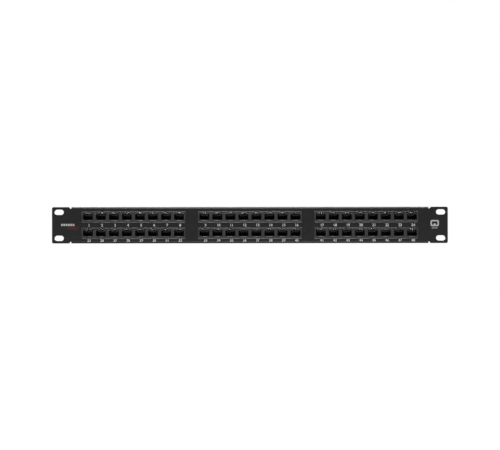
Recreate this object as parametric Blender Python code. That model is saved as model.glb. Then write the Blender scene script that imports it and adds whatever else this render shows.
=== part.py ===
"""A 1U, 19-inch rack patch panel with 48 modular sockets in three groups of sixteen.

A folded steel front panel carries six eight-port socket housings. Each housing has a moulded
contact set behind it, each group of sixteen sockets has one circuit board, and four
insulation-displacement strips stand on the back of each board. Screws hold the boards on
standoffs that are pressed into the back of the panel.

Metres, +Z up. The front faces -Y. The origin is the centre of the four rack slots, on the back
face of the ears, which is the plane that seats on the rack rails.
"""

from math import cos, pi, radians, sin

import bmesh
import bpy

# Ports: the tab-down modular sockets and how they are laid out.
GROUPS = ("left", "centre", "right")
ROWS = ("upper", "lower")
PORTS_PER_ROW = 8
PORT_PITCH = 0.015875
ROW_SPACING = 0.0199

# The folded steel front panel.
PANEL_HEIGHT = 0.0443
SHEET = 0.0015
BEND_RADIUS = 0.0024
FLANGE_DEPTH = 0.0135
FLANGE_CORNER = 0.0020
EAR_WIDTH = 0.0235
EAR_CORNER_RADIUS = 0.0020
NOTCH_WIDTH = 0.0028
NOTCH_DEPTH = 0.0020
WINDOW_HEIGHT = 0.0144
WINDOW_CORNER_RADIUS = 0.0005
GROUP_BLANK = 0.0144
END_BLANK = 0.0120

# Rack slots: an EIA pattern, open 6.4 mm by 11.3 mm.
SLOT_INSET = 0.00875
SLOT_RISE = 0.03175
SLOT_LENGTH = 0.0113
SLOT_WIDTH = 0.0064

# Socket housings, one for each row of eight ports.
HOUSING_PROUD = 0.0005
HOUSING_DEPTH = 0.0130
HOUSING_SHOULDER = 0.0012
HOUSING_BEVEL = 0.0006
CAVITY_WIDTH = 0.0122
CAVITY_TOP = 0.0037
CAVITY_FLOOR = -0.0032
THROAT_WIDTH = 0.0086
THROAT_TOP = 0.0058
LATCH_WIDTH = 0.0062
LATCH_FLOOR = -0.0052
LIP_WIDTH = 0.0074
LIP_SETBACK = 0.0009
LIP_REACH = 0.0020
LIP_CREST = 0.0004

# Contact sets: a carrier behind each housing with one tongue of spring contacts for each port.
CONTACTS_PER_PORT = 8
CONTACT_PITCH = 0.00102
CONTACT_WIDTH = 0.00050
CONTACT_THICKNESS = 0.00035
CONTACT_REST_HEIGHT = 0.0013
CONTACT_REACH = 0.0088
CARRIER_THICKNESS = 0.0020
TONGUE_THICKNESS = 0.0011
TONGUE_SETBACK = 0.0009

# Circuit boards, one for each group of sixteen ports.
BOARD_HEIGHT = 0.0380
BOARD_THICKNESS = 0.0016
BOARD_EDGE = 0.0002

# Insulation-displacement strips, two for each row of ports, and the label between them.
STRIPS_PER_ROW = 2
SLOTS_PER_PORT_AND_STRIP = 4
STRIP_OFFSET = 0.0052
STRIP_HEIGHT = 0.0062
STRIP_BASE_DEPTH = 0.0045
STRIP_TOOTH_DEPTH = 0.0070
STRIP_SLOT_WIDTH = 0.0012
LABEL_HEIGHT = 0.0036
LABEL_THICKNESS = 0.0003

# Board fasteners: pan-head M2.5 screws into round self-clinching standoffs.
STANDOFF_RADIUS = 0.0025
STANDOFF_RISE = 0.0240
SCREW_RADIUS = 0.00125
SCREW_LENGTH = 0.0080
SCREW_HEAD_RADIUS = 0.0023
SCREW_HEAD_HEIGHT = 0.0017
RECESS_WIDTH = 0.0008
RECESS_LENGTH = 0.0026
RECESS_DEPTH = 0.0009

# Clearances between pieces.
FIT_GAP = 0.0003
SIDE_GAP = 0.0007

# Smoothness of round shapes.
CORNER_STEPS = 4
BEND_STEPS = 6
SLOT_STEPS = 10
FASTENER_STEPS = 12
SMOOTH_ANGLE = radians(35)

# Lengths worked out from the values above.
ROW_WIDTH = PORTS_PER_ROW * PORT_PITCH
WINDOW_WIDTH = ROW_WIDTH + 2 * FIT_GAP
GROUP_SPACING = WINDOW_WIDTH + GROUP_BLANK
CENTRE_WIDTH = len(GROUPS) * GROUP_SPACING - GROUP_BLANK + 2 * END_BLANK
PANEL_WIDTH = CENTRE_WIDTH + 2 * EAR_WIDTH
SLOT_SPAN = PANEL_WIDTH - 2 * SLOT_INSET

HOUSING_FRONT = -SHEET - HOUSING_PROUD
HOUSING_HEIGHT = WINDOW_HEIGHT - 2 * FIT_GAP
CARRIER_FRONT = HOUSING_DEPTH + FIT_GAP
BOARD_FRONT = CARRIER_FRONT + CARRIER_THICKNESS + FIT_GAP
BOARD_BACK = BOARD_FRONT + BOARD_THICKNESS
STRIP_FRONT = BOARD_BACK + FIT_GAP

CONTACTS_WIDTH = (CONTACTS_PER_PORT - 1) * CONTACT_PITCH + CONTACT_WIDTH
STANDOFF_OFFSET = ROW_WIDTH / 2 + HOUSING_SHOULDER + SIDE_GAP + STANDOFF_RADIUS
BOARD_WIDTH = 2 * (STANDOFF_OFFSET + STANDOFF_RADIUS + BOARD_EDGE)
BORE_RADIUS = SCREW_RADIUS + FIT_GAP


def clear_scene():
    for old in list(bpy.data.objects):
        bpy.data.objects.remove(old, do_unlink=True)


def make_material(name, colour, roughness, metallic=0.0):
    material = bpy.data.materials.new(name)
    material.use_nodes = True
    shader = material.node_tree.nodes["Principled BSDF"]
    shader.inputs["Base Color"].default_value = (*colour, 1.0)
    shader.inputs["Roughness"].default_value = roughness
    shader.inputs["Metallic"].default_value = metallic
    return material


def arc(centre, radius, start, end, steps):
    """Points along an arc, angles in radians."""
    angles = [start + (end - start) * i / steps for i in range(steps + 1)]
    return [(centre[0] + radius * cos(a), centre[1] + radius * sin(a)) for a in angles]


def rounded_rectangle(width, height, radius, centre=(0.0, 0.0)):
    """A rectangle with rounded corners, anticlockwise."""
    across = width / 2 - radius
    up = height / 2 - radius
    points = []
    for turn, (side_x, side_z) in enumerate(((1, 1), (-1, 1), (-1, -1), (1, -1))):
        corner = (centre[0] + side_x * across, centre[1] + side_z * up)
        points += arc(corner, radius, turn * pi / 2, (turn + 1) * pi / 2, CORNER_STEPS)
    return points


def obround(length, width, centre):
    """A slot outline with round ends, long in the first direction."""
    reach = (length - width) / 2
    right = (centre[0] + reach, centre[1])
    left = (centre[0] - reach, centre[1])
    points = arc(right, width / 2, -pi / 2, pi / 2, SLOT_STEPS)
    return points + arc(left, width / 2, pi / 2, 3 * pi / 2, SLOT_STEPS)


def circle_outline(radius, centre):
    return arc(centre, radius, 0, 2 * pi, FASTENER_STEPS)[:-1]


def rectangle(low_u, low_v, high_u, high_v):
    return [(low_u, low_v), (high_u, low_v), (high_u, high_v), (low_u, high_v)]


def placed(axis, u, v, along):
    """A point of an outline, with the third coordinate along the axis it is extruded on."""
    if axis == "X":
        return (along, u, v)
    if axis == "Y":
        return (u, along, v)
    return (u, v, along)


def add_prism(bm, outline, axis, low, high):
    """One closed prism: the outline swept from low to high along the axis."""
    start = [bm.verts.new(placed(axis, u, v, low)) for u, v in outline]
    end = [bm.verts.new(placed(axis, u, v, high)) for u, v in outline]
    faces = [bm.faces.new(start), bm.faces.new(end)]
    count = len(outline)
    for i in range(count):
        j = (i + 1) % count
        faces.append(bm.faces.new((start[i], start[j], end[j], end[i])))
    bmesh.ops.recalc_face_normals(bm, faces=faces)


def add_box(bm, low, high):
    add_prism(bm, rectangle(low[0], low[1], high[0], high[1]), "Z", low[2], high[2])


def mesh_from(name, bm):
    mesh = bpy.data.meshes.new(name)
    bm.to_mesh(mesh)
    bm.free()
    return mesh


def prism_mesh(name, outlines, axis, low, high):
    """A mesh of one prism for each outline, all swept over the same length."""
    bm = bmesh.new()
    for outline in outlines:
        add_prism(bm, outline, axis, low, high)
    return mesh_from(name, bm)


def box_mesh(name, low, high):
    bm = bmesh.new()
    add_box(bm, low, high)
    return mesh_from(name, bm)


def turned_mesh(name, profile):
    """A solid or a sleeve turned about Y: a closed loop of (radius, y) points."""
    bm = bmesh.new()
    rings = []
    for radius, y in profile:
        if radius == 0:
            rings.append([bm.verts.new((0, y, 0))])
            continue
        circle = circle_outline(radius, (0, 0))
        rings.append([bm.verts.new((x, y, z)) for x, z in circle])
    for i, ring in enumerate(rings):
        following = rings[(i + 1) % len(rings)]
        join_rings(bm, ring, following)
    bmesh.ops.recalc_face_normals(bm, faces=bm.faces)
    return mesh_from(name, bm)


def join_rings(bm, ring, following):
    """The faces between two rings of a turned shape; either may be a single point."""
    if len(ring) == 1 and len(following) == 1:
        return
    for k in range(FASTENER_STEPS):
        n = (k + 1) % FASTENER_STEPS
        if len(ring) == 1:
            bm.faces.new((ring[0], following[k], following[n]))
        elif len(following) == 1:
            bm.faces.new((ring[k], ring[n], following[0]))
        else:
            bm.faces.new((ring[k], ring[n], following[n], following[k]))


def lofted_mesh(name, rings):
    """A closed body through rectangular rings, each (y, half width, half height)."""
    bm = bmesh.new()
    loops = []
    for y, half_x, half_z in rings:
        corners = ((-1, -1), (1, -1), (1, 1), (-1, 1))
        loops.append([bm.verts.new((u * half_x, y, v * half_z)) for u, v in corners])
    bm.faces.new(loops[0])
    bm.faces.new(loops[-1])
    for before, after in zip(loops, loops[1:]):
        for i in range(4):
            j = (i + 1) % 4
            bm.faces.new((before[i], before[j], after[j], after[i]))
    bmesh.ops.recalc_face_normals(bm, faces=bm.faces)
    return mesh_from(name, bm)


def add_object(name, mesh, location=(0.0, 0.0, 0.0)):
    made = bpy.data.objects.new(name, mesh)
    bpy.context.scene.collection.objects.link(made)
    made.location = location
    return made


def tool_object(name, mesh):
    """A cutter or a piece to be joined on: kept out of the model itself."""
    made = add_object(name, mesh)
    made.hide_render = True
    made.display_type = "WIRE"
    return made


def combine(base, other, operation):
    modifier = base.modifiers.new(other.name, "BOOLEAN")
    modifier.operation = operation
    modifier.solver = "EXACT"
    modifier.object = other


def finished_mesh(base, others):
    """The mesh of base after its modifiers; base and the shapes used on it are removed."""
    bpy.context.view_layer.update()
    graph = bpy.context.evaluated_depsgraph_get()
    mesh = bpy.data.meshes.new_from_object(base.evaluated_get(graph))
    mesh.name = base.name
    for used in (base, *others):
        bpy.data.objects.remove(used, do_unlink=True)
    return mesh


def group_x(group):
    return (group - (len(GROUPS) - 1) / 2) * GROUP_SPACING


def row_z(row):
    return (0.5 - row) * ROW_SPACING


def port_xs():
    """The ports' places along a row, from its centre."""
    return [(i - (PORTS_PER_ROW - 1) / 2) * PORT_PITCH for i in range(PORTS_PER_ROW)]


def channel_outline():
    """Side view of the sheet between its ears: face, two bends and two flanges, as (y, z)."""
    top = PANEL_HEIGHT / 2
    centre_y = BEND_RADIUS - SHEET
    centre_z = top - BEND_RADIUS
    inner = BEND_RADIUS - SHEET
    outside = arc((centre_y, centre_z), BEND_RADIUS, pi, pi / 2, BEND_STEPS)
    inside = arc((centre_y, centre_z), inner, pi / 2, pi, BEND_STEPS)
    upper = outside + [(FLANGE_DEPTH, top), (FLANGE_DEPTH, top - SHEET)] + inside
    lower = [(y, -z) for y, z in reversed(upper)]
    return upper + lower


def ear_outline(side):
    """Front view of one ear, and the neck between its notches that reaches the channel."""
    end = PANEL_WIDTH / 2
    top = PANEL_HEIGHT / 2
    neck = top - NOTCH_DEPTH
    root = CENTRE_WIDTH / 2
    corner = (end - EAR_CORNER_RADIUS, top - EAR_CORNER_RADIUS)
    upper = [(root - SHEET, neck), (root + NOTCH_WIDTH / 3, neck), (root + NOTCH_WIDTH, top)]
    upper += arc(corner, EAR_CORNER_RADIUS, pi / 2, 0, CORNER_STEPS)
    lower = [(x, -z) for x, z in reversed(upper)]
    return [(side * x, z) for x, z in upper + lower]


def panel_openings():
    """The windows for the housings and the rack slots, as outlines in the front view."""
    outlines = []
    for group in range(len(GROUPS)):
        for row in range(len(ROWS)):
            centre = (group_x(group), row_z(row))
            outlines.append(
                rounded_rectangle(WINDOW_WIDTH, WINDOW_HEIGHT, WINDOW_CORNER_RADIUS, centre)
            )
    for side in (-1, 1):
        for end in (-1, 1):
            centre = (side * SLOT_SPAN / 2, end * SLOT_RISE / 2)
            outlines.append(obround(SLOT_LENGTH, SLOT_WIDTH, centre))
    return outlines


def flange_corners():
    """Corner cuts at the four free corners of the flanges, as outlines in the top view."""
    outlines = []
    for side in (-1, 1):
        end = side * CENTRE_WIDTH / 2
        past = side * FIT_GAP
        outlines.append(
            [
                (end - side * FLANGE_CORNER, FLANGE_DEPTH + FIT_GAP),
                (end - side * FLANGE_CORNER, FLANGE_DEPTH),
                (end, FLANGE_DEPTH - FLANGE_CORNER),
                (end + past, FLANGE_DEPTH - FLANGE_CORNER),
                (end + past, FLANGE_DEPTH + FIT_GAP),
            ]
        )
    return outlines


def build_front_panel(material):
    half = CENTRE_WIDTH / 2
    panel = tool_object("panel", prism_mesh("panel", [channel_outline()], "X", -half, half))
    ears = [ear_outline(side) for side in (-1, 1)]
    ear_tool = tool_object("ears", prism_mesh("ears", ears, "Y", -SHEET, 0))
    combine(panel, ear_tool, "UNION")
    through = prism_mesh("openings", panel_openings(), "Y", -2 * SHEET, SHEET)
    opening_tool = tool_object("openings", through)
    combine(panel, opening_tool, "DIFFERENCE")
    corners = prism_mesh("corners", flange_corners(), "Z", -PANEL_HEIGHT, PANEL_HEIGHT)
    corner_tool = tool_object("corners", corners)
    combine(panel, corner_tool, "DIFFERENCE")
    mesh = finished_mesh(panel, (ear_tool, opening_tool, corner_tool))
    finish(add_object("front_panel", mesh), material)


def cavity_outline(x):
    """One socket from the front: the plug space, and above it the throat for the contacts."""
    cavity = CAVITY_WIDTH / 2
    throat = THROAT_WIDTH / 2
    right = [
        (cavity, CAVITY_FLOOR),
        (cavity, CAVITY_TOP),
        (throat, CAVITY_TOP),
        (throat, THROAT_TOP),
    ]
    left = [(-u, v) for u, v in reversed(right)]
    return [(x + u, v) for u, v in right + left]


def lip_outline():
    """The space in front of the sloped lip that a plug's latch rides over, in side view (y, z)."""
    before = HOUSING_FRONT - FIT_GAP
    above = CAVITY_FLOOR + FIT_GAP
    start = HOUSING_FRONT + LIP_SETBACK
    crest = start + LIP_REACH
    return [
        (before, LATCH_FLOOR),
        (start, LATCH_FLOOR),
        (crest, CAVITY_FLOOR),
        (crest, above),
        (before, above),
    ]


def housing_mesh():
    nose_x = ROW_WIDTH / 2
    nose_z = HOUSING_HEIGHT / 2
    body_x = nose_x + HOUSING_SHOULDER
    body_z = nose_z + HOUSING_SHOULDER
    rings = (
        (HOUSING_FRONT, nose_x - HOUSING_BEVEL, nose_z - HOUSING_BEVEL),
        (HOUSING_FRONT + HOUSING_BEVEL, nose_x, nose_z),
        (FIT_GAP, nose_x, nose_z),
        (FIT_GAP, body_x, body_z),
        (HOUSING_DEPTH, body_x, body_z),
    )
    housing = tool_object("housing", lofted_mesh("housing", rings))
    front = HOUSING_FRONT - FIT_GAP
    back = HOUSING_DEPTH + FIT_GAP
    outlines = [cavity_outline(x) for x in port_xs()]
    cavities = tool_object("cavities", prism_mesh("cavities", outlines, "Y", front, back))
    combine(housing, cavities, "DIFFERENCE")

    overlap = CAVITY_FLOOR + FIT_GAP
    lip_back = HOUSING_FRONT + LIP_SETBACK + LIP_REACH + LIP_CREST
    bm = bmesh.new()
    for x in port_xs():
        half = LATCH_WIDTH / 2
        add_box(bm, (x - half, lip_back, LATCH_FLOOR), (x + half, back, overlap))
    channels = tool_object("channels", mesh_from("channels", bm))
    combine(housing, channels, "DIFFERENCE")

    bm = bmesh.new()
    for x in port_xs():
        add_prism(bm, lip_outline(), "X", x - LIP_WIDTH / 2, x + LIP_WIDTH / 2)
    lips = tool_object("lips", mesh_from("lips", bm))
    combine(housing, lips, "DIFFERENCE")
    return finished_mesh(housing, (cavities, channels, lips))


def contact_outline():
    """Side view (y, z) of one tongue and the sprung contacts folded back under it."""
    top = THROAT_TOP - FIT_GAP
    under = top - TONGUE_THICKNESS
    nose = HOUSING_FRONT + TONGUE_SETBACK
    tip = nose + CONTACT_REACH
    back = CARRIER_FRONT + CARRIER_THICKNESS / 2
    step = CONTACT_THICKNESS
    return [
        (back, top),
        (nose + step, top),
        (nose, top - step),
        (nose, under - step),
        (tip - 2 * step, CONTACT_REST_HEIGHT),
        (tip, CONTACT_REST_HEIGHT),
        (tip, CONTACT_REST_HEIGHT + step),
        (tip - 2 * step, CONTACT_REST_HEIGHT + step),
        (nose + 2 * step, under),
        (back, under),
    ]


def contact_set_mesh():
    half = CONTACTS_WIDTH / 2
    body_x = ROW_WIDTH / 2 + HOUSING_SHOULDER
    body_z = HOUSING_HEIGHT / 2 + HOUSING_SHOULDER
    back = CARRIER_FRONT + CARRIER_THICKNESS
    plate = box_mesh("carrier", (-body_x, CARRIER_FRONT, -body_z), (body_x, back, body_z))
    carrier = tool_object("carrier", plate)
    bm = bmesh.new()
    for x in port_xs():
        add_prism(bm, contact_outline(), "X", x - half, x + half)
    tongues = tool_object("tongues", mesh_from("tongues", bm))
    combine(carrier, tongues, "UNION")
    return finished_mesh(carrier, (tongues,))


def board_mesh():
    half = BOARD_WIDTH / 2
    low = (-half, BOARD_FRONT, -BOARD_HEIGHT / 2)
    board = tool_object("board", box_mesh("board", low, (half, BOARD_BACK, BOARD_HEIGHT / 2)))
    outlines = [circle_outline(BORE_RADIUS, place) for place in fastener_places()]
    over = prism_mesh("holes", outlines, "Y", BOARD_FRONT - FIT_GAP, BOARD_BACK + FIT_GAP)
    holes = tool_object("holes", over)
    combine(board, holes, "DIFFERENCE")
    return finished_mesh(board, (holes,))


def strip_mesh():
    """A comb that holds the wires: teeth with a slot between each two, seen from above."""
    slots = PORTS_PER_ROW * SLOTS_PER_PORT_AND_STRIP
    pitch = PORT_PITCH / SLOTS_PER_PORT_AND_STRIP
    half = ROW_WIDTH / 2
    valley = STRIP_FRONT + STRIP_BASE_DEPTH
    tip = valley + STRIP_TOOTH_DEPTH
    outline = [(-half, STRIP_FRONT), (half, STRIP_FRONT), (half, tip)]
    for i in reversed(range(slots)):
        x = (i + 0.5) * pitch - half
        right = x + STRIP_SLOT_WIDTH / 2
        left = x - STRIP_SLOT_WIDTH / 2
        outline += [(right, tip), (right, valley), (left, valley), (left, tip)]
    outline.append((-half, tip))
    high = STRIP_HEIGHT / 2
    return prism_mesh("strip", [outline], "Z", -high, high)


def label_mesh():
    low = (-ROW_WIDTH / 2, STRIP_FRONT, -LABEL_HEIGHT / 2)
    high = (ROW_WIDTH / 2, STRIP_FRONT + LABEL_THICKNESS, LABEL_HEIGHT / 2)
    return box_mesh("label", low, high)


def standoff_mesh():
    front = FIT_GAP
    back = BOARD_FRONT - FIT_GAP
    profile = (
        (STANDOFF_RADIUS, front),
        (STANDOFF_RADIUS, back),
        (BORE_RADIUS, back),
        (BORE_RADIUS, front),
    )
    return turned_mesh("standoff", profile)


def screw_mesh():
    seat = BOARD_BACK + FIT_GAP
    crown = seat + SCREW_HEAD_HEIGHT
    profile = (
        (0, seat - SCREW_LENGTH),
        (SCREW_RADIUS, seat - SCREW_LENGTH),
        (SCREW_RADIUS, seat),
        (SCREW_HEAD_RADIUS, seat),
        (SCREW_HEAD_RADIUS, crown - SCREW_HEAD_HEIGHT / 2),
        (SCREW_HEAD_RADIUS * 0.75, crown),
        (0, crown),
    )
    screw = tool_object("screw", turned_mesh("screw", profile))
    wide = RECESS_WIDTH / 2
    long = RECESS_LENGTH / 2
    cross = [(-long, -wide), (-wide, -wide), (-wide, -long), (wide, -long), (wide, -wide), (long, -wide)]
    cross += [(-u, -v) for u, v in cross]
    cut = prism_mesh("recess", [cross], "Y", crown - RECESS_DEPTH, crown + FIT_GAP)
    recess = tool_object("recess", cut)
    combine(screw, recess, "DIFFERENCE")
    return finished_mesh(screw, (recess,))


def fastener_places():
    """The four fasteners of a board, from the board's centre."""
    across = STANDOFF_OFFSET
    up = STANDOFF_RISE / 2
    return [(side * across, end * up) for side in (-1, 1) for end in (1, -1)]


def finish(made, material):
    """Gives an object its material and smooth shading with sharp edges kept."""
    mesh = made.data
    if not mesh.materials:
        mesh.materials.append(material)
        mesh.shade_smooth()
        mesh.set_sharp_from_angle(angle=SMOOTH_ANGLE)


def build_rows(housing, contacts, label, housing_material, contact_material, label_material):
    """The pieces that repeat for each row of ports."""
    for g, group in enumerate(GROUPS):
        for r, row in enumerate(ROWS):
            place = (group_x(g), 0, row_z(r))
            finish(add_object(f"socket_housing_{row}_{group}", housing, place), housing_material)
            finish(add_object(f"contact_set_{row}_{group}", contacts, place), contact_material)
            finish(add_object(f"wiring_label_{row}_{group}", label, place), label_material)


def build_strips(strip, material):
    """Two strips for each row of ports, numbered from the top of the board."""
    for g, group in enumerate(GROUPS):
        for r in range(len(ROWS)):
            for s in range(STRIPS_PER_ROW):
                z = row_z(r) + (1 - 2 * s) * STRIP_OFFSET
                number = r * STRIPS_PER_ROW + s + 1
                place = (group_x(g), 0, z)
                finish(add_object(f"idc_strip_{group}_{number}", strip, place), material)


def build_boards(board, standoff, screw, board_material, standoff_material, screw_material):
    """The boards and the four standoffs and screws of each."""
    for g, group in enumerate(GROUPS):
        x = group_x(g)
        finish(add_object(f"circuit_board_{group}", board, (x, 0, 0)), board_material)
        for n, (across, up) in enumerate(fastener_places(), start=1):
            place = (x + across, 0, up)
            finish(add_object(f"standoff_{group}_{n}", standoff, place), standoff_material)
            finish(add_object(f"board_screw_{group}_{n}", screw, place), screw_material)


def main():
    clear_scene()
    powder_coat = make_material("powder_coated_steel", (0.022, 0.022, 0.024), 0.45)
    black_plastic = make_material("black_plastic", (0.018, 0.018, 0.019), 0.35)
    contact_plastic = make_material("contact_carrier", (0.030, 0.028, 0.024), 0.40)
    strip_plastic = make_material("strip_plastic", (0.035, 0.035, 0.037), 0.45)
    laminate = make_material("board_laminate", (0.012, 0.045, 0.022), 0.50)
    paper = make_material("label_paper", (0.70, 0.70, 0.68), 0.80)
    plated = make_material("plated_steel", (0.60, 0.60, 0.58), 0.30, 1.0)
    zinc = make_material("zinc_screw", (0.50, 0.50, 0.48), 0.28, 1.0)

    build_front_panel(powder_coat)
    build_rows(
        housing_mesh(), contact_set_mesh(), label_mesh(), black_plastic, contact_plastic, paper
    )
    build_strips(strip_mesh(), strip_plastic)
    build_boards(board_mesh(), standoff_mesh(), screw_mesh(), laminate, plated, zinc)


main()
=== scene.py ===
"""The finished look of a 1U rack patch panel with 48 modular sockets.

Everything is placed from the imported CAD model. Metres, +Z up, the front faces -Y.
"""

from math import cos, pi, radians, sin

import bmesh
import bpy
from mathutils import Matrix, Vector


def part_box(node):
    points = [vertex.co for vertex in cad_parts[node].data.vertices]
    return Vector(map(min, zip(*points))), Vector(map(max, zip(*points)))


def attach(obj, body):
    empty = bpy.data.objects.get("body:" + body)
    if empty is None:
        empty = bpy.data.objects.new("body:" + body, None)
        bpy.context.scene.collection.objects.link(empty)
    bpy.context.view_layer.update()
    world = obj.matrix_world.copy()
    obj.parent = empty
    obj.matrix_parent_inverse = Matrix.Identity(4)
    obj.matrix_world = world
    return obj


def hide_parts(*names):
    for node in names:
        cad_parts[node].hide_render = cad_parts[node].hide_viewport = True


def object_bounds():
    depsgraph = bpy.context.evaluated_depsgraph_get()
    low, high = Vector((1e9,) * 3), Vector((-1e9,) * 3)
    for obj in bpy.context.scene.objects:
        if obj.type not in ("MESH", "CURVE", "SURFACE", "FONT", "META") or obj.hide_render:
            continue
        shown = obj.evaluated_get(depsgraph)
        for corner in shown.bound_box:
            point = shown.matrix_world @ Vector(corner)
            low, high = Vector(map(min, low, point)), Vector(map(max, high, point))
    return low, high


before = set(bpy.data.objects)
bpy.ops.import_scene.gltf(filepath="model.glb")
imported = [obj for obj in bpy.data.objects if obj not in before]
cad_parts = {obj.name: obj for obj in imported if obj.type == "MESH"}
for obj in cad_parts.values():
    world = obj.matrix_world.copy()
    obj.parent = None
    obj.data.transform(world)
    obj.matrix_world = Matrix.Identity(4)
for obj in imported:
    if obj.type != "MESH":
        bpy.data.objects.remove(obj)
cad_low, cad_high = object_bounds()

GROUPS = ("left", "centre", "right")
ROWS = ("upper", "lower")
PORTS_PER_ROW = 8
PORTS_PER_SIDE = PORTS_PER_ROW * len(GROUPS)

# Sockets: heights are from the middle of a row, widths are half widths from a port's middle.
HOUSING_SHOULDER = 0.0012
SHOULDER_DEPTH = 0.0023
CAVITY_HALF = 0.0061
CAVITY_TOP = 0.0037
CAVITY_FLOOR = -0.0032
THROAT_HALF = 0.0023
THROAT_TOP = 0.0062
WEB_DEPTH = 0.0006
RAIL_INNER = 0.0039
RAIL_OUTER = 0.0072
RAIL_LOW = 0.0043
RAIL_TOP = 0.0054
LIP_FLOOR = -0.0052
LIP_SETBACK = 0.0009
LIP_REACH = 0.0020
LIP_CREST = 0.0004
LIP_ARCH = 0.0003
LIP_CHAMFER = 0.0002
LIP_ROOT = 0.0003
LIP_OVERLAP = 0.00004
LIP_SECTIONS = 9
TONGUE_TOP = 0.0058
CONTACT_REST_HEIGHT = 0.0013
CARRIER_THICKNESS = 0.0020
TONGUE_SETBACK = 0.0009

# Contacts: plated wires folded over the slanted nose of each tongue.
CONTACTS_PER_PORT = 8
CONTACT_PITCH = 0.00102
WIRE_WIDTH = 0.00050
WIRE_THICKNESS = 0.00034
WIRE_ROUNDING = 0.00010
NOSE_SETBACK = 0.00015
NOSE_SLANT = 0.00052
NOSE_FALL = 0.00130
WIRE_REACH = 0.0066
WIRE_EASE = 0.00036
WIRE_TIP = (0.0006, 0.0005)
RIB_DROP = 0.0014
TONGUE_THICKNESS = 0.0011
RIB_WIDTH = 0.00022
GOLD_START = 0.0022
GOLD_FADE = 0.0012

# Punch-down strips.
SLOTS_PER_PORT_AND_STRIP = 4
STRIP_BASE_DEPTH = 0.0045
STRIP_SLOT_WIDTH = 0.0012
SHORT_TOOTH_DROP = 0.0013
TOOTH_POINT = 0.0014
BLADE_WIDTH = 0.00032
BLADE_THICKNESS = 0.00090
BLADE_TOP = 0.0052
BLADE_OFFSET = 0.00016
BLADE_LEAD = 0.0008
BLADE_LEAD_CUT = 0.0002
TOOTH_TIP_HALF = 0.00025
LABEL_TILE_GAP = 0.00030
LABEL_INK = 0.00004

# Solder joints on the boards.
SOLDER_RADIUS = 0.00055
SOLDER_RISE = 0.00050
SOLDER_ROW_OFFSET = 0.0009

# Edge rounding.
SHEET_ROUNDING = 0.00028
NOSE_ROUNDING = 0.00050
SOCKET_ROUNDING = 0.00020
BOARD_ROUNDING = 0.00012
SMOOTH_ANGLE = radians(32)

# Print on the front.
INK = 0.00003
DIGIT_HEIGHT = 0.0031
DIGIT_SHIFT = 0.0015
DIGIT_BOLDNESS = 0.034
UPPER_DIGITS_Z = 0.0001
LOWER_DIGITS_Z = -0.0184

# Marks: across from the panel's left edge, or its right edge for the sign.
BLOCKS = 6
BLOCKS_START = 0.0112
BLOCK_PITCH = 0.0028
BLOCK_WIDTH = 0.0021
BLOCK_LOW = -0.0008
BLOCK_HIGH = 0.0018
OVAL_SIDES = 40
OVAL_X = 0.0258
OVAL_Z = -0.0034
OVAL_HALF_WIDTH = 0.0075
OVAL_HALF_HEIGHT = 0.0023
SIGN_INSET = 0.0160
SIGN_Z = 0.0022

# Screws and standoffs.
SCREW_SIDES = 32
SCREW_HEAD_HEIGHT = 0.0017
SCREW_HEAD_RIM = 0.35
SCREW_SHANK_RADIUS = 0.00125
RECESS_DEPTH = 0.0009
RECESS_HALF_WIDTH = 0.0004
RECESS_HALF_LENGTH = 0.0013
STANDOFF_BORE = 0.00155
STANDOFF_CHAMFER = 0.0002


# ---------------------------------------------------------------- materials


class Material:
    """A Principled material with short calls for its nodes."""

    def __init__(self, name, colour, roughness, metallic=0.0):
        self.material = bpy.data.materials.new(name)
        self.material.use_nodes = True
        self.tree = self.material.node_tree
        self.shader = self.tree.nodes["Principled BSDF"]
        self.set("Base Color", (*colour, 1.0))
        self.set("Roughness", roughness)
        self.set("Metallic", metallic)
        self.place = self.node("ShaderNodeTexCoord").outputs["Object"]

    def set(self, socket, value):
        self.shader.inputs[socket].default_value = value

    def node(self, kind, **settings):
        made = self.tree.nodes.new(kind)
        for key, value in settings.items():
            setattr(made, key, value)
        return made

    def link(self, output, target):
        self.tree.links.new(output, target)

    def noise(self, scale, detail=2.0, roughness=0.5):
        noise = self.node("ShaderNodeTexNoise")
        noise.inputs["Scale"].default_value = scale
        noise.inputs["Detail"].default_value = detail
        noise.inputs["Roughness"].default_value = roughness
        self.link(self.place, noise.inputs["Vector"])
        return noise.outputs["Fac"]

    def spread(self, value, low, high):
        """The value, from 0 to 1, spread over low to high."""
        span = self.node("ShaderNodeMapRange")
        span.inputs["To Min"].default_value = low
        span.inputs["To Max"].default_value = high
        self.link(value, span.inputs["Value"])
        return span.outputs["Result"]

    def two_colours(self, value, dark, light):
        ramp = self.node("ShaderNodeValToRGB")
        ramp.color_ramp.elements[0].position = 0.3
        ramp.color_ramp.elements[1].position = 0.7
        ramp.color_ramp.elements[0].color = (*dark, 1.0)
        ramp.color_ramp.elements[1].color = (*light, 1.0)
        self.link(value, ramp.inputs["Fac"])
        self.link(ramp.outputs["Color"], self.shader.inputs["Base Color"])

    def vary_roughness(self, value, low, high):
        self.link(self.spread(value, low, high), self.shader.inputs["Roughness"])

    def bump(self, value, depth, strength=1.0):
        bump = self.node("ShaderNodeBump")
        bump.inputs["Strength"].default_value = strength
        bump.inputs["Distance"].default_value = depth
        self.link(value, bump.inputs["Height"])
        self.link(bump.outputs["Normal"], self.shader.inputs["Normal"])


def powder_coat():
    coat = Material("powder_coat", (0.016, 0.016, 0.017), 0.42)
    grain = coat.noise(1100, 3.0, 0.55)
    coat.two_colours(coat.noise(260, 2.0), (0.0235, 0.0235, 0.0245), (0.0295, 0.0295, 0.0305))
    coat.vary_roughness(coat.noise(420, 2.0), 0.27, 0.36)
    coat.bump(grain, 0.00005, 0.5)
    return coat.material


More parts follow.
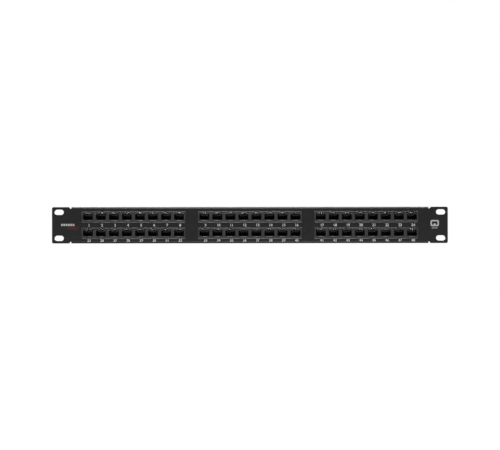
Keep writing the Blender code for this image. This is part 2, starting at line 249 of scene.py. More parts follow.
def moulded_black():
    plastic = Material("moulded_black", (0.042, 0.042, 0.044), 0.34)
    plastic.two_colours(plastic.noise(180, 2.0), (0.066, 0.066, 0.068), (0.079, 0.079, 0.081))
    plastic.vary_roughness(plastic.noise(700, 2.0), 0.20, 0.30)
    plastic.bump(plastic.noise(2600, 2.0), 0.00002, 0.5)
    return plastic.material


def carrier_plastic():
    # Near-black, far darker than the housings' plastic: painted shade for the deep back of each
    # socket cavity.
    plastic = Material("carrier_plastic", (0.008, 0.008, 0.008), 0.50)
    plastic.two_colours(plastic.noise(300, 2.0), (0.006, 0.006, 0.006), (0.010, 0.010, 0.010))
    plastic.vary_roughness(plastic.noise(900, 2.0), 0.36, 0.50)
    plastic.bump(plastic.noise(2400, 2.0), 0.00002, 0.4)
    return plastic.material


def strip_plastic():
    plastic = Material("strip_plastic", (0.032, 0.032, 0.034), 0.44)
    plastic.two_colours(plastic.noise(220, 2.0), (0.028, 0.028, 0.030), (0.038, 0.038, 0.040))
    plastic.vary_roughness(plastic.noise(800, 2.0), 0.38, 0.52)
    plastic.bump(plastic.noise(2000, 3.0), 0.00003, 0.5)
    return plastic.material


def contact_gold():
    """Bright nickel at the nose, and satin pale gold from two millimetres behind the front."""
    gold = Material("contact_gold", (0.90, 0.66, 0.28), 0.20, 1.0)
    parts = gold.node("ShaderNodeSeparateXYZ")
    gold.link(gold.place, parts.inputs["Vector"])
    plated = gold.node("ShaderNodeMapRange", interpolation_type="SMOOTHSTEP")
    plated.inputs["From Min"].default_value = cad_low.y + GOLD_START
    plated.inputs["From Max"].default_value = cad_low.y + GOLD_START + GOLD_FADE
    gold.link(parts.outputs["Y"], plated.inputs["Value"])
    ramp = gold.node("ShaderNodeMix", data_type="RGBA")
    gold.link(plated.outputs["Result"], ramp.inputs["Factor"])
    ramp.inputs["A"].default_value = (0.93, 0.91, 0.86, 1.0)
    ramp.inputs["B"].default_value = (0.90, 0.79, 0.56, 1.0)
    gold.link(ramp.outputs["Result"], gold.shader.inputs["Base Color"])
    satin = gold.node("ShaderNodeMath", operation="MULTIPLY_ADD")
    gold.link(plated.outputs["Result"], satin.inputs[0])
    satin.inputs[1].default_value = 0.32
    gold.link(gold.spread(gold.noise(1500, 2.0), 0.12, 0.22), satin.inputs[2])
    gold.link(satin.outputs["Value"], gold.shader.inputs["Roughness"])
    return gold.material


def tinned_metal(name="tinned_metal", colour=(0.72, 0.72, 0.70), low=0.18, high=0.34):
    metal = Material(name, colour, 0.25, 1.0)
    darker = tuple(0.86 * part for part in colour)
    metal.two_colours(metal.noise(700, 2.0), darker, colour)
    metal.vary_roughness(metal.noise(1300, 2.0), low, high)
    metal.bump(metal.noise(1800, 2.0), 0.00001, 0.4)
    return metal.material


def solder_mask():
    """Green lacquer over copper tracks, which show as slightly lighter lines."""
    mask = Material("solder_mask", (0.010, 0.060, 0.026), 0.30)
    wave = mask.node("ShaderNodeTexWave", wave_type="BANDS", bands_direction="X")
    wave.inputs["Scale"].default_value = 160.0
    wave.inputs["Distortion"].default_value = 2.5
    wave.inputs["Detail"].default_value = 1.0
    wave.inputs["Detail Scale"].default_value = 30.0
    mask.link(mask.place, wave.inputs["Vector"])
    mask.two_colours(wave.outputs["Fac"], (0.006, 0.040, 0.017), (0.013, 0.078, 0.032))
    mask.vary_roughness(mask.noise(600, 2.0), 0.24, 0.38)
    mask.bump(wave.outputs["Fac"], 0.00003, 0.5)
    return mask.material


def paper(name, colour):
    sheet = Material(name, colour, 0.75)
    darker = tuple(0.90 * part for part in colour)
    sheet.two_colours(sheet.noise(1500, 4.0, 0.6), darker, colour)
    sheet.vary_roughness(sheet.noise(800, 2.0), 0.68, 0.86)
    sheet.bump(sheet.noise(2500, 3.0), 0.00001, 0.5)
    return sheet.material


def ink(name, colour):
    """Screen-printed ink: slightly uneven, with the coat's texture under it."""
    print_ink = Material(name, colour, 0.50)
    darker = tuple(0.82 * part for part in colour)
    print_ink.two_colours(print_ink.noise(1600, 3.0), darker, colour)
    print_ink.vary_roughness(print_ink.noise(900, 2.0), 0.42, 0.58)
    print_ink.bump(print_ink.noise(1100, 3.0, 0.55), 0.00004, 0.5)
    return print_ink.material


# ---------------------------------------------------------------- mesh helpers


def new_object(name, mesh):
    made = bpy.data.objects.new(name, mesh)
    bpy.context.scene.collection.objects.link(made)
    return made


def mesh_from(name, bm):
    mesh = bpy.data.meshes.new(name)
    bm.to_mesh(mesh)
    bm.free()
    return mesh


def dressed(piece, material, slot, *nodes):
    """Finishes a piece: its material, its body and the CAD nodes it stands for; the slot is not
    used.
    """
    piece.data.materials.clear()
    for each in material if isinstance(material, (list, tuple)) else (material,):
        piece.data.materials.append(each)
    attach(piece, "root")
    if nodes:
        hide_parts(*nodes)
    return piece


def smoothed(piece, angle=SMOOTH_ANGLE):
    piece.data.shade_smooth()
    piece.data.set_sharp_from_angle(angle=angle)


def round_edges(piece, width, segments=2, limit="ANGLE"):
    bevel = piece.modifiers.new("edge_rounding", "BEVEL")
    bevel.width = width
    bevel.segments = segments
    bevel.limit_method = limit
    bevel.angle_limit = SMOOTH_ANGLE
    bevel.use_clamp_overlap = limit == "ANGLE"
    normals = piece.modifiers.new("even_shading", "WEIGHTED_NORMAL")
    normals.weight = 80
    normals.keep_sharp = False


def refined(name, node, width, segments=2):
    """A CAD node's shape with its flat faces rejoined and its edges rounded."""
    bm = bmesh.new()
    bm.from_mesh(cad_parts[node].data)
    bmesh.ops.remove_doubles(bm, verts=bm.verts, dist=1e-6)
    flat = radians(1)
    bmesh.ops.dissolve_limit(bm, angle_limit=flat, verts=bm.verts, edges=bm.edges)
    piece = new_object(name, mesh_from(name, bm))
    piece.data.shade_smooth()
    round_edges(piece, width, segments)
    return piece


def add_grid_solid(bm, xs, ys, zs, filled):
    """The skin of the filled cells of a grid, as quads that share their corners."""
    corners = {}

    def corner(i, j, k):
        if (i, j, k) not in corners:
            corners[i, j, k] = bm.verts.new((xs[i], ys[j], zs[k]))
        return corners[i, j, k]

    def inside(i, j, k):
        if not (0 <= i < len(xs) - 1 and 0 <= j < len(ys) - 1 and 0 <= k < len(zs) - 1):
            return False
        return filled((xs[i] + xs[i + 1]) / 2, (ys[j] + ys[j + 1]) / 2, (zs[k] + zs[k + 1]) / 2)

    sides = (
        ((-1, 0, 0), ((0, 0, 0), (0, 0, 1), (0, 1, 1), (0, 1, 0))),
        ((1, 0, 0), ((1, 0, 0), (1, 1, 0), (1, 1, 1), (1, 0, 1))),
        ((0, -1, 0), ((0, 0, 0), (1, 0, 0), (1, 0, 1), (0, 0, 1))),
        ((0, 1, 0), ((0, 1, 0), (0, 1, 1), (1, 1, 1), (1, 1, 0))),
        ((0, 0, -1), ((0, 0, 0), (0, 1, 0), (1, 1, 0), (1, 0, 0))),
        ((0, 0, 1), ((0, 0, 1), (1, 0, 1), (1, 1, 1), (0, 1, 1))),
    )
    for i in range(len(xs) - 1):
        for j in range(len(ys) - 1):
            for k in range(len(zs) - 1):
                if not inside(i, j, k):
                    continue
                for (di, dj, dk), face in sides:
                    if not inside(i + di, j + dj, k + dk):
                        bm.faces.new([corner(i + a, j + b, k + c) for a, b, c in face])


def add_loft(bm, rings):
    """A closed shell through rings of equally many points, capped at both ends."""
    loops = [[bm.verts.new(point) for point in ring] for ring in rings]
    faces = [bm.faces.new(loops[0]), bm.faces.new(loops[-1])]
    count = len(loops[0])
    for before, after in zip(loops, loops[1:]):
        for i in range(count):
            j = (i + 1) % count
            faces.append(bm.faces.new((before[i], before[j], after[j], after[i])))
    bmesh.ops.recalc_face_normals(bm, faces=faces)


def add_box(bm, low, high):
    def ring(y):
        return [
            (low[0], y, low[2]),
            (high[0], y, low[2]),
            (high[0], y, high[2]),
            (low[0], y, high[2]),
        ]

    add_loft(bm, [ring(low[1]), ring(high[1])])


def arc(centre, radius, start, end, steps):
    angles = [start + (end - start) * i / steps for i in range(steps + 1)]
    return [(centre[0] + radius * cos(a), centre[1] + radius * sin(a)) for a in angles]


def turned_mesh(name, profile, sides):
    """A solid turned about Y from (radius, y) points that start and end on the axis."""
    bm = bmesh.new()
    rings = []
    for radius, y in profile:
        if radius == 0:
            rings.append([bm.verts.new((0, y, 0))])
        else:
            circle = arc((0, 0), radius, 0, 2 * pi, sides)[:-1]
            rings.append([bm.verts.new((x, y, z)) for x, z in circle])
    closed = rings + ([rings[0]] if len(rings[0]) > 1 else [])
    for ring, following in zip(closed, closed[1:]):
        for k in range(sides):
            n = (k + 1) % sides
            corners = [ring[k % len(ring)], ring[n % len(ring)]]
            corners += [following[n % len(following)], following[k % len(following)]]
            bm.faces.new(list(dict.fromkeys(corners)))
    bmesh.ops.recalc_face_normals(bm, faces=bm.faces)
    return mesh_from(name, bm)


def middle(node):
    low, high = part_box(node)
    return (low + high) / 2


def row_nodes(kind):
    """(row, group, node name) for each piece that repeats with the rows of ports."""
    return [(row, group, f"{kind}_{row}_{group}") for row in ROWS for group in GROUPS]


def row_layout(row, group):
    """The housing's low and high corners, its pitch and the x of each port."""
    low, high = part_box(f"socket_housing_{row}_{group}")
    width = high.x - low.x - 2 * HOUSING_SHOULDER
    pitch = width / PORTS_PER_ROW
    centre = (low.x + high.x) / 2
    xs = [centre + (i - (PORTS_PER_ROW - 1) / 2) * pitch for i in range(PORTS_PER_ROW)]
    return low, high, pitch, xs


# ---------------------------------------------------------------- front


def make_panel():
    panel = refined("panel", "front_panel", SHEET_ROUNDING, 3)
    dressed(panel, powder_coat(), "powder_coated_steel", "front_panel")


def housing_filled(pitch, nose_x, nose_z, front):
    """Says whether a point of a housing is plastic; (x, z) are from the middle of its row."""

    def filled(x, y, z):
        depth = y - front
        if abs(x) > nose_x or abs(z) > nose_z:
            return depth > SHOULDER_DEPTH
        across = abs((x / pitch) % 1 - 0.5) * pitch
        if across < CAVITY_HALF and CAVITY_FLOOR < z < CAVITY_TOP:
            return False
        if across < THROAT_HALF and CAVITY_TOP < z < THROAT_TOP:
            return False
        if across < RAIL_INNER and CAVITY_TOP < z < THROAT_TOP and depth > WEB_DEPTH:
            return False
        if RAIL_INNER < across < RAIL_OUTER and RAIL_LOW < z < RAIL_TOP:
            return False
        return not (across < RAIL_INNER and LIP_FLOOR < z < CAVITY_FLOOR)

    return filled


def weigh_edges(bm, front, nose_x, nose_z):
    """Marks sharp edges for rounding: the front rim of the nose in full, the others less."""
    weights = bm.edges.layers.float.new("bevel_weight_edge")
    near = 0.00001
    for edge in bm.edges:
        if edge.calc_face_angle(0.0) < SMOOTH_ANGLE:
            continue
        ends = [vert.co for vert in edge.verts]
        at_front = all(abs(end.y - front) < near for end in ends)
        at_side = all(abs(abs(end.x) - nose_x) < near for end in ends)
        at_top = all(abs(abs(end.z) - nose_z) < near for end in ends)
        rim = at_front and (at_side or at_top)
        edge[weights] = 1.0 if rim else SOCKET_ROUNDING / NOSE_ROUNDING


def add_lip(bm, x, front):
    """The rounded lip at the bottom of a socket, which a plug's latch rides over."""
    start = front + LIP_SETBACK
    crest = start + LIP_REACH
    end = crest + LIP_CREST
    curve = arc((crest, CAVITY_FLOOR - LIP_REACH), LIP_REACH, pi, pi / 2, 9)
    back = end + LIP_CHAMFER
    root = LIP_FLOOR - LIP_ROOT
    side = [(start, root), *curve, (end, CAVITY_FLOOR), (back, CAVITY_FLOOR - LIP_CHAMFER)]
    side.append((back, root))
    rings = []
    for i in range(LIP_SECTIONS):
        share = 2 * i / (LIP_SECTIONS - 1) - 1
        low = LIP_ARCH * share * share
        across = x + share * (RAIL_INNER + LIP_OVERLAP)
        ring = []
        for y, z in side:
            rise = max(0.0, (z - LIP_FLOOR) / (CAVITY_FLOOR - LIP_FLOOR))
            ring.append((across, y, z - low * rise))
        rings.append(ring)
    add_loft(bm, rings)


def make_housings():
    plastic = moulded_black()
    for row, group, node in row_nodes("socket_housing"):
        low, high, pitch, _ = row_layout(row, group)
        nose_x = (high.x - low.x) / 2 - HOUSING_SHOULDER
        nose_z = (high.z - low.z) / 2 - HOUSING_SHOULDER
        steps = (-RAIL_OUTER, -CAVITY_HALF, -RAIL_INNER, -THROAT_HALF)
        steps += tuple(-step for step in reversed(steps))
        ports = [(i - (PORTS_PER_ROW - 1) / 2) * pitch for i in range(PORTS_PER_ROW)]
        ends = (-nose_x - HOUSING_SHOULDER, -nose_x, nose_x, nose_x + HOUSING_SHOULDER)
        xs = sorted([*ends, *(x + step for x in ports for step in steps)])
        ys = [low.y, low.y + WEB_DEPTH, low.y + SHOULDER_DEPTH, high.y]
        zs = [-nose_z - HOUSING_SHOULDER, -nose_z, LIP_FLOOR, CAVITY_FLOOR, CAVITY_TOP]
        zs += [RAIL_LOW, RAIL_TOP, THROAT_TOP, nose_z, nose_z + HOUSING_SHOULDER]
        bm = bmesh.new()
        add_grid_solid(bm, xs, ys, zs, housing_filled(pitch, nose_x, nose_z, low.y))
        weigh_edges(bm, low.y, nose_x, nose_z)
        middle_x = (low.x + high.x) / 2
        middle_z = (low.z + high.z) / 2
        housing = new_object(f"sockets_{row}_{group}", mesh_from("housing", bm))
        housing.data.transform(Matrix.Translation((middle_x, 0, middle_z)))
        housing.data.shade_smooth()
        round_edges(housing, NOSE_ROUNDING, 3, "WEIGHT")
        dressed(housing, plastic, "black_plastic", node)

        bm = bmesh.new()
        for x in ports:
            add_lip(bm, x, low.y)
        lips = new_object(f"latch_lips_{row}_{group}", mesh_from("lips", bm))
        lips.data.transform(Matrix.Translation((middle_x, 0, middle_z)))
        smoothed(lips)
        dressed(lips, plastic, "black_plastic")


def eased(corners, reach, steps=5):
    """A line through the corners, each one rounded from this far before it to as far behind."""
    path = [corners[0]]
    for before, corner, after in zip(corners, corners[1:], corners[2:]):
        start = corner + (before - corner).normalized() * reach
        end = corner + (after - corner).normalized() * reach
        for i in range(steps + 1):
            share = i / steps
            pull = 2 * share * (1 - share)
            path.append(start * (1 - share) ** 2 + corner * pull + end * share**2)
    path.append(corners[-1])
    return path


def wire_path(front, back, top):
    """The middle line (y, z) of one contact wire, from the board, over the nose, to its end."""
    tip = Vector((front + WIRE_REACH, CONTACT_REST_HEIGHT + WIRE_THICKNESS / 2))
    corners = [
        Vector((back, top)),
        Vector((front + NOSE_SLANT, top)),
        Vector((front, top - NOSE_FALL)),
        tip,
        tip + Vector(WIRE_TIP),
    ]
    return eased(corners, WIRE_EASE)


def add_wire(bm, path, x, lift):
    """A flat wire with rounded edges along a path in the plane of one contact."""
    half_w = WIRE_WIDTH / 2
    half_t = WIRE_THICKNESS / 2
    cut = WIRE_ROUNDING
    section = [
        (-half_w, -half_t + cut),
        (-half_w + cut, -half_t),
        (half_w - cut, -half_t),
        (half_w, -half_t + cut),
        (half_w, half_t - cut),
        (half_w - cut, half_t),
        (-half_w + cut, half_t),
        (-half_w, half_t - cut),
    ]
    rings = []
    for i, (y, z) in enumerate(path):
        before = path[max(i - 1, 0)]
        after = path[min(i + 1, len(path) - 1)]
        run = Vector((after[0] - before[0], after[1] - before[1])).normalized()
        rings.append([(x + u, y - run.y * v, z + lift + run.x * v) for u, v in section])
    add_loft(bm, rings)


def make_contacts():
    gold = contact_gold()
    # The carrier's near-black colour is painted shade for the back of the socket cavities.
    plastic = carrier_plastic()
    for row, group, node in row_nodes("contact_set"):
        low, high, _, xs = row_layout(row, group)
        zc = (low.z + high.z) / 2
        plate_low, plate_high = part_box(node)
        front = low.y + TONGUE_SETBACK
        top = TONGUE_TOP - WIRE_THICKNESS / 2
        nose = low.y + NOSE_SETBACK + WIRE_THICKNESS / 2
        plate_front = plate_high.y - CARRIER_THICKNESS
        path = wire_path(nose, plate_front, top)

        bm = bmesh.new()
        for x in xs:
            for k in range(CONTACTS_PER_PORT):
                offset = (k - (CONTACTS_PER_PORT - 1) / 2) * CONTACT_PITCH
                add_wire(bm, path, x + offset, zc)
        wires = new_object(f"contact_wires_{row}_{group}", mesh_from("contact_wires", bm))
        smoothed(wires, radians(50))
        dressed(wires, gold, "contact_carrier")

        bm = bmesh.new()
        add_box(bm, (plate_low.x, plate_front, plate_low.z), plate_high)
        half = ((CONTACTS_PER_PORT - 1) * CONTACT_PITCH + WIRE_WIDTH) / 2
        core_top = zc + top - WIRE_THICKNESS / 2
        for x in xs:
            tongue_low = (x - half, front + WIRE_THICKNESS, core_top - TONGUE_THICKNESS / 2)
            add_box(bm, tongue_low, (x + half, plate_front + 0.0002, core_top))
            for k in range(CONTACTS_PER_PORT + 1):
                rib = x + (k - CONTACTS_PER_PORT / 2) * CONTACT_PITCH
                rib_low = (rib - RIB_WIDTH / 2, front - 0.0002, core_top - RIB_DROP)
                rib_high = (rib + RIB_WIDTH / 2, plate_front + 0.0002, zc + top + 0.0001)
                add_box(bm, rib_low, rib_high)
        carrier = new_object(f"contact_carrier_{row}_{group}", mesh_from("carrier", bm))
        round_edges(carrier, 0.00008, 1)
        dressed(carrier, plastic, "contact_carrier", node)


# ---------------------------------------------------------------- back


def add_tooth(bm, x_low, x_high, z_low, z_high, valley, tip, sink):
    """One pointed tooth between two wire slots."""
    shoulder = tip - TOOTH_POINT
    centre = (x_low + x_high) / 2
    thin = (z_high - z_low) * 0.12

    def ring(left, right, y, inset):
        return [
            (left, y, z_low + inset),
            (right, y, z_low + inset),
            (right, y, z_high - inset),
            (left, y, z_high - inset),
        ]

    point = TOOTH_TIP_HALF
    add_loft(
        bm,
        [
            ring(x_low, x_high, valley - sink, 0.0),
            ring(x_low, x_high, shoulder, thin * 0.4),
            ring(centre - point, centre + point, tip, thin),
        ],
    )


def make_strips():
    plastic = strip_plastic()
    blade_metal = tinned_metal("blade_metal", (0.80, 0.78, 0.72), 0.14, 0.26)
    for group in GROUPS:
        for number in range(1, 5):
            node = f"idc_strip_{group}_{number}"
            low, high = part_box(node)
            slots = PORTS_PER_ROW * SLOTS_PER_PORT_AND_STRIP
            pitch = (high.x - low.x) / slots
            valley = low.y + STRIP_BASE_DEPTH
            bm = bmesh.new()
            add_box(bm, low, (high.x, valley, high.z))
            for i in range(slots + 1):
                left = low.x if i == 0 else low.x + (i - 0.5) * pitch + STRIP_SLOT_WIDTH / 2
                right = high.x if i == slots else low.x + (i + 0.5) * pitch - STRIP_SLOT_WIDTH / 2
                drop = SHORT_TOOTH_DROP if i % 2 else 0.0
                add_tooth(bm, left, right, low.z, high.z, valley, high.y - drop, 0.0002)
            strip = new_object(f"punch_strip_{group}_{number}", mesh_from("strip", bm))
            round_edges(strip, 0.00015, 1)
            dressed(strip, plastic, "strip_plastic", node)

            bm = bmesh.new()
            mid = (low.z + high.z) / 2
            for i in range(slots):
                x = low.x + (i + 0.5) * pitch
                for side in (-1, 1):
                    inner = x + side * BLADE_OFFSET
                    outer = x + side * (BLADE_OFFSET + BLADE_WIDTH)
                    add_blade(bm, min(inner, outer), max(inner, outer), mid, valley, side)
            blades = new_object(f"blades_{group}_{number}", mesh_from("blades", bm))
            dressed(blades, blade_metal, "plated_steel")


def add_blade(bm, x_low, x_high, z, valley, side):
    """One prong of the fork that grips a wire, with a lead-in at its top."""
    half = BLADE_THICKNESS / 2
    top = valley + BLADE_TOP

    def ring(left, right, y):
        low, high = z - half, z + half
        return [(left, y, low), (right, y, low), (right, y, high), (left, y, high)]

    left = x_low + (BLADE_LEAD_CUT if side > 0 else 0)
    right = x_high - (BLADE_LEAD_CUT if side < 0 else 0)
    add_loft(
        bm,
        [
            ring(x_low, x_high, valley - 0.0005),
            ring(x_low, x_high, top - BLADE_LEAD),
            ring(left, right, top),
        ],
    )


def make_labels():
    """Paper strips with a block of wiring colours under each port's slots."""
    white = paper("label_white", (0.58, 0.58, 0.56))
    colours = [
        paper("label_blue", (0.035, 0.12, 0.50)),
        paper("label_orange", (0.80, 0.24, 0.03)),
        paper("label_green", (0.03, 0.28, 0.07)),
        paper("label_brown", (0.18, 0.075, 0.03)),
    ]
    for row, group, node in row_nodes("wiring_label"):
        low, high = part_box(node)
        tiles = PORTS_PER_ROW * SLOTS_PER_PORT_AND_STRIP
        pitch = (high.x - low.x) / tiles
        middle_z = (low.z + high.z) / 2
        bm = bmesh.new()
        add_box(bm, low, (high.x, high.y - LABEL_INK, high.z))
        for i in range(tiles):
            for half, (z_low, z_high) in enumerate(((low.z, middle_z), (middle_z, high.z))):
                colour = 1 + (i // 2 + 2 * half) % len(colours)
                first = len(bm.faces)
                add_box(
                    bm,
                    (
                        low.x + i * pitch + LABEL_TILE_GAP,
                        high.y - 2 * LABEL_INK,
                        z_low + LABEL_TILE_GAP,
                    ),
                    (
                        low.x + (i + 1) * pitch - LABEL_TILE_GAP,
                        high.y,
                        z_high - LABEL_TILE_GAP,
                    ),
                )
                bm.faces.ensure_lookup_table()
                for face in bm.faces[first:]:
                    face.material_index = colour
        label = new_object(f"colour_label_{row}_{group}", mesh_from("label", bm))
        dressed(label, [white, *colours], "label_paper", node)


def make_boards():
    mask = solder_mask()
    solder = tinned_metal("solder", (0.70, 0.71, 0.72), 0.22, 0.38)
    for group in GROUPS:
        node = f"circuit_board_{group}"
        board = refined(f"board_{group}", node, BOARD_ROUNDING, 1)
        dressed(board, mask, "board_laminate", node)
        _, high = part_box(node)
        gap_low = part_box(f"idc_strip_{group}_3")[1].z
        gap_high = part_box(f"idc_strip_{group}_2")[0].z
        mid = (gap_low + gap_high) / 2
        _, _, pitch, xs = row_layout("upper", group)
        joint_pitch = pitch / CONTACTS_PER_PORT
        bm = bmesh.new()
        for x in xs:
            for k in range(CONTACTS_PER_PORT):
                place = x + (k - (CONTACTS_PER_PORT - 1) / 2) * joint_pitch
                for side in (-1, 1):
                    add_joint(bm, (place, high.y, mid + side * SOLDER_ROW_OFFSET))
        joints = new_object(f"solder_joints_{group}", mesh_from("joints", bm))
        smoothed(joints, radians(60))
        dressed(joints, solder, "plated_steel")


def add_joint(bm, place):
    """A solder joint: a small cone that flares out to its pad."""
    sides = 8

    def ring(radius, rise):
        return [
            (place[0] + x, place[1] + rise, place[2] + z)
            for x, z in arc((0, 0), radius, 0, 2 * pi, sides)[:-1]
        ]

    add_loft(
        bm,
        [
            ring(SOLDER_RADIUS, -0.0001),
            ring(SOLDER_RADIUS, 0.00005),
            ring(SOLDER_RADIUS * 0.62, SOLDER_RISE * 0.4),
            ring(SOLDER_RADIUS * 0.40, SOLDER_RISE * 0.8),
            ring(SOLDER_RADIUS * 0.22, SOLDER_RISE),
        ],
    )


def screw_mesh(low, high):
    """A pan-head screw about its own axis at x = z = 0, without its recess."""
    radius = (high.x - low.x) / 2
    seat = high.y - SCREW_HEAD_HEIGHT
    shank = SCREW_SHANK_RADIUS
    dome = [
        (radius * x, seat + SCREW_HEAD_HEIGHT * (SCREW_HEAD_RIM + (1 - SCREW_HEAD_RIM) * rise))
        for x, rise in arc((0, 0), 1.0, 0, pi / 2, 8)[:-1]
    ]
    profile = [(0, low.y), (shank * 0.7, low.y), (shank, low.y + 0.0004), (shank, seat)]
    profile += [(radius * 0.96, seat), (radius, seat + 0.0001), *dome, (0, high.y)]
    return turned_mesh("screw", profile, SCREW_SIDES)


def cross_cutter(high):
    """The shape of a cross recess: two crossed blades that narrow towards their ends."""
    bm = bmesh.new()
    wide = RECESS_HALF_WIDTH
    long = RECESS_HALF_LENGTH
    for a, b in ((long, wide), (wide, long)):
        rings = []
        for y, share in ((high.y - RECESS_DEPTH, 0.55), (high.y + 0.0003, 1.08)):
            grown_a = a * share if a == long else a
            grown_b = b * share if b == long else b
            rings.append(
                [
                    (-grown_a, y, -grown_b),
                    (grown_a, y, -grown_b),
                    (grown_a, y, grown_b),
                    (-grown_a, y, grown_b),
                ]
            )
        add_loft(bm, rings)
    return new_object("cross_cutter", mesh_from("cross", bm))


def cut(piece, cutter):
    """Takes the cutter away from the piece for good, and removes it."""
    boolean = piece.modifiers.new("cut", "BOOLEAN")
    boolean.operation = "DIFFERENCE"
    boolean.solver = "EXACT"
    boolean.use_self = True
    boolean.object = cutter
    bpy.context.view_layer.update()
    graph = bpy.context.evaluated_depsgraph_get()
    mesh = bpy.data.meshes.new_from_object(piece.evaluated_get(graph))
    piece.modifiers.clear()
    piece.data = mesh
    bpy.data.objects.remove(cutter, do_unlink=True)


def make_fasteners():
    zinc = tinned_metal("zinc_plate", (0.62, 0.63, 0.64), 0.20, 0.36)
    plated = tinned_metal("standoff_plate", (0.66, 0.65, 0.60), 0.22, 0.38)
    low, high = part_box("board_screw_centre_1")
    model = new_object("screw_model", screw_mesh(low, high))
    cut(model, cross_cutter(high))
    shape = model.data
    bpy.data.objects.remove(model, do_unlink=True)
    low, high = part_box("standoff_centre_1")
    radius = (high.x - low.x) / 2
    bore = STANDOFF_BORE
    chamfer = STANDOFF_CHAMFER
    sleeve = [
        (radius, low.y + chamfer),
        (radius, high.y - chamfer),
        (radius - chamfer, high.y),
        (bore + chamfer, high.y),
        (bore, high.y - chamfer),
        (bore, low.y + chamfer),
        (bore + chamfer, low.y),
        (radius - chamfer, low.y),
    ]
    for group in GROUPS:
        for n in range(1, 5):
            place = middle(f"board_screw_{group}_{n}")
            screw = new_object(f"screw_{group}_{n}", shape.copy())
            screw.data.transform(Matrix.Translation((place.x, 0, place.z)))
            smoothed(screw)
            dressed(screw, zinc, "zinc_screw", f"board_screw_{group}_{n}")
            mesh = turned_mesh("spacer", sleeve, SCREW_SIDES)
            standoff = new_object(f"spacer_{group}_{n}", mesh)
            place = middle(f"standoff_{group}_{n}")
            standoff.data.transform(Matrix.Translation((place.x, 0, place.z)))
            smoothed(standoff)
            dressed(standoff, plated, "plated_steel", f"standoff_{group}_{n}")


# ---------------------------------------------------------------- print


def text_mesh(body, height):
    """A flat-topped number, standing in the XZ plane and facing -Y, centred on its origin."""
    curve = bpy.data.curves.new("digits", "FONT")
    curve.body = body
    curve.align_x = "CENTER"
    curve.size = height / 0.70
    curve.extrude = INK / 2
    curve.offset = height * DIGIT_BOLDNESS
    curve.resolution_u = 4
    holder = new_object("digits", curve)
    bpy.context.view_layer.update()
    graph = bpy.context.evaluated_depsgraph_get()
    mesh = bpy.data.meshes.new_from_object(holder.evaluated_get(graph))
    bpy.data.objects.remove(holder, do_unlink=True)
    mesh.transform(Matrix.Translation((0, -height / 2, 0)))
    mesh.transform(Matrix.Rotation(pi / 2, 4, "X"))
    return mesh


def make_port_numbers():
    white = ink("number_ink", (0.95, 0.95, 0.95))
    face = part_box("front_panel")[0].y
    for row, group, _ in row_nodes("socket_housing"):
        _, _, _, xs = row_layout(row, group)
        z = UPPER_DIGITS_Z if row == "upper" else LOWER_DIGITS_Z
        bm = bmesh.new()
        for i, x in enumerate(xs):
            before = ROWS.index(row) * PORTS_PER_SIDE + GROUPS.index(group) * PORTS_PER_ROW
            number = before + i + 1
            mesh = text_mesh(str(number), DIGIT_HEIGHT)
            mesh.transform(Matrix.Translation((x + DIGIT_SHIFT, face, z)))
            bm.from_mesh(mesh)
            bpy.data.meshes.remove(mesh)
        bmesh.ops.remove_doubles(bm, verts=bm.verts, dist=1e-7)
        numbers = new_object(f"port_numbers_{row}_{group}", mesh_from("numbers", bm))
        dressed(numbers, white, "powder_coated_steel")


def make_marks():
    """Plain marks where a maker's would be: blocks and an oval at the left, a sign at the right."""
    white = ink("mark_ink", (0.74, 0.74, 0.74))
    red = ink("mark_red", (0.095, 0.017, 0.024))
    low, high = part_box("front_panel")
    near, far = low.y - INK / 2, low.y + INK / 2

    bm = bmesh.new()
    for i in range(BLOCKS):
        left = low.x + BLOCKS_START + i * BLOCK_PITCH
        add_box(bm, (left, near, BLOCK_LOW), (left + BLOCK_WIDTH, far, BLOCK_HIGH))
    blocks = new_object("mark_blocks", mesh_from("blocks", bm))
    dressed(blocks, white, "powder_coated_steel")

    bm = bmesh.new()
    circle = arc((0, 0), 1.0, 0, 2 * pi, OVAL_SIDES)[:-1]
    middle_x = low.x + OVAL_X
    oval = [(middle_x + OVAL_HALF_WIDTH * x, OVAL_Z + OVAL_HALF_HEIGHT * z) for x, z in circle]
    add_loft(bm, [[(x, y, z) for x, z in oval] for y in (near, far)])
    disc = new_object("mark_oval", mesh_from("oval", bm))
    dressed(disc, red, "powder_coated_steel")

    bm = bmesh.new()
    cx = high.x - SIGN_INSET
    cz = SIGN_Z
    outer = rounded_loop(cx, cz, 0.0102, 0.0076, 0.0018)
    inner = rounded_loop(cx, cz, 0.0068, 0.0042, 0.0008)
    add_band(bm, outer, inner, low.y)
    add_box(bm, (cx - 0.0013, near, cz - 0.0021), (cx + 0.0013, far, cz - 0.0005))
    for i in range(4):
        left = cx - 0.0035 + i * 0.0018
        add_box(bm, (left, near, -0.0042), (left + 0.0012, far, -0.0031))
    sign = new_object("mark_socket_sign", mesh_from("sign", bm))
    dressed(sign, white, "powder_coated_steel")


def rounded_loop(cx, cz, width, height, radius):
    points = []
    for turn, (u, v) in enumerate(((1, 1), (-1, 1), (-1, -1), (1, -1))):
        corner = (cx + u * (width / 2 - radius), cz + v * (height / 2 - radius))
        points += arc(corner, radius, turn * pi / 2, (turn + 1) * pi / 2, 6)
    return points


def add_band(bm, outer, inner, face):
    """A flat closed band between two outlines with equally many points."""
    loops = []
    for outline, y in ((outer, -1), (inner, -1), (inner, 1), (outer, 1)):
        loops.append([bm.verts.new((x, face + y * INK / 2, z)) for x, z in outline])
    count = len(outer)
    faces = []
    for before, after in zip(loops, loops[1:] + loops[:1]):
        for i in range(count):
            j = (i + 1) % count
            faces.append(bm.faces.new((before[i], before[j], after[j], after[i])))
    bmesh.ops.recalc_face_normals(bm, faces=faces)


# ---------------------------------------------------------------- studio

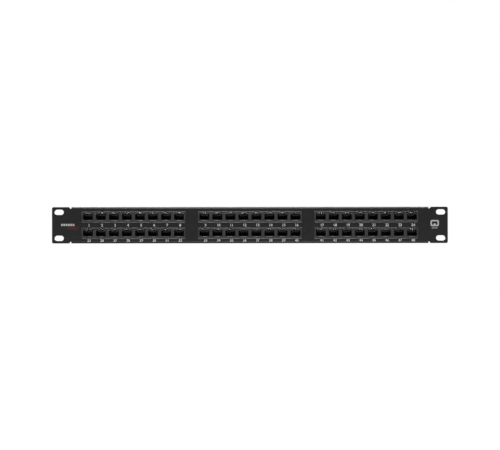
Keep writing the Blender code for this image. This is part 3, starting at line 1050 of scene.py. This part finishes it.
VIEW_WIDTH = 0.6093
CAMERA_DISTANCE = 1.2
SENSOR_WIDTH = 36.0
CAMERA_ROLL = radians(0.07)
LIGHT_DISTANCE = 1.3
SOFTBOX_WIDTH = 0.8
SOFTBOX_HEIGHT = 0.3
WORLD_FILL = 0.01
FLOOR_RADIUS = 4.0
FLOOR_DROP = 0.35

# Each softbox: name, x, degrees above straight in front, power in watts.
SOFTBOXES = (
    ("front_low", 0.0, -36, 3.9),
    ("front_under", 0.0, -22, 2.0),
    ("front_left", -0.8, -8, 0.4),
    ("front_right", 0.8, -8, 0.4),
    ("key", 0.0, 50, 2.6),
    ("key_high", 0.0, 60, 5.8),
    ("overhead", 0.0, 86, 9.0),
    ("overhead_left", -0.8, 104, 5.0),
    ("overhead_right", 0.8, 104, 3.0),
    ("back_left", -0.8, 158, 11.0),
    ("back_right", 0.8, 158, 11.0),
    ("back", 0.0, 172, 5.0),
)


def make_camera():
    data = bpy.data.cameras.new("camera")
    data.sensor_width = SENSOR_WIDTH
    data.lens = SENSOR_WIDTH * CAMERA_DISTANCE / VIEW_WIDTH
    data.clip_start = 0.05
    data.clip_end = 50.0
    camera = new_object("camera", data)
    camera.location = (0.00012, cad_low.y - CAMERA_DISTANCE, 0.00012)
    camera.rotation_euler = (pi / 2, CAMERA_ROLL, 0)
    bpy.context.scene.camera = camera


def make_light(name, x, elevation, power):
    """A softbox that aims at the panel, raised this many degrees from straight in front."""
    data = bpy.data.lights.new(name, "AREA")
    data.shape = "RECTANGLE"
    data.size = SOFTBOX_WIDTH
    data.size_y = SOFTBOX_HEIGHT
    data.energy = power
    light = new_object(name, data)
    angle = radians(elevation)
    light.location = (x, -LIGHT_DISTANCE * cos(angle), LIGHT_DISTANCE * sin(angle))
    light.rotation_euler = (-light.location).to_track_quat("-Z", "Y").to_euler()
    light.visible_camera = False


def make_studio():
    world = bpy.data.worlds.new("studio")
    world.use_nodes = True
    tree = world.node_tree
    tree.nodes.clear()
    output = tree.nodes.new("ShaderNodeOutputWorld")
    fill = tree.nodes.new("ShaderNodeBackground")
    fill.inputs["Color"].default_value = (1.0, 1.0, 1.0, 1.0)
    fill.inputs["Strength"].default_value = WORLD_FILL
    seen = tree.nodes.new("ShaderNodeBackground")
    seen.inputs["Color"].default_value = (1.0, 1.0, 1.0, 1.0)
    seen.inputs["Strength"].default_value = 1.0
    rays = tree.nodes.new("ShaderNodeLightPath")
    mix = tree.nodes.new("ShaderNodeMixShader")
    tree.links.new(rays.outputs["Is Camera Ray"], mix.inputs["Fac"])
    tree.links.new(fill.outputs["Background"], mix.inputs[1])
    tree.links.new(seen.outputs["Background"], mix.inputs[2])
    tree.links.new(mix.outputs["Shader"], output.inputs["Surface"])
    bpy.context.scene.world = world
    bpy.context.scene.view_settings.view_transform = "Standard"

    for name, x, elevation, power in SOFTBOXES:
        make_light(name, x, elevation, power)


def make_floor():
    floor_material = Material("floor_white", (0.9, 0.9, 0.9), 0.8)
    floor_material.two_colours(floor_material.noise(6), (0.90, 0.90, 0.90), (0.92, 0.92, 0.92))
    floor_material.set("Emission Color", (1.0, 1.0, 1.0, 1.0))
    floor_material.set("Emission Strength", 1.0)
    bm = bmesh.new()
    bmesh.ops.create_circle(bm, cap_ends=True, segments=96, radius=FLOOR_RADIUS)
    floor = new_object("floor", mesh_from("floor", bm))
    floor.location.z = cad_low.z - FLOOR_DROP
    floor.data.materials.append(floor_material.material)
    floor.visible_diffuse = False
    floor.visible_glossy = False
    floor.visible_shadow = False


make_camera()
make_panel()
make_housings()
make_contacts()
make_strips()
make_labels()
make_boards()
make_fasteners()
make_port_numbers()
make_marks()
make_studio()
make_floor()
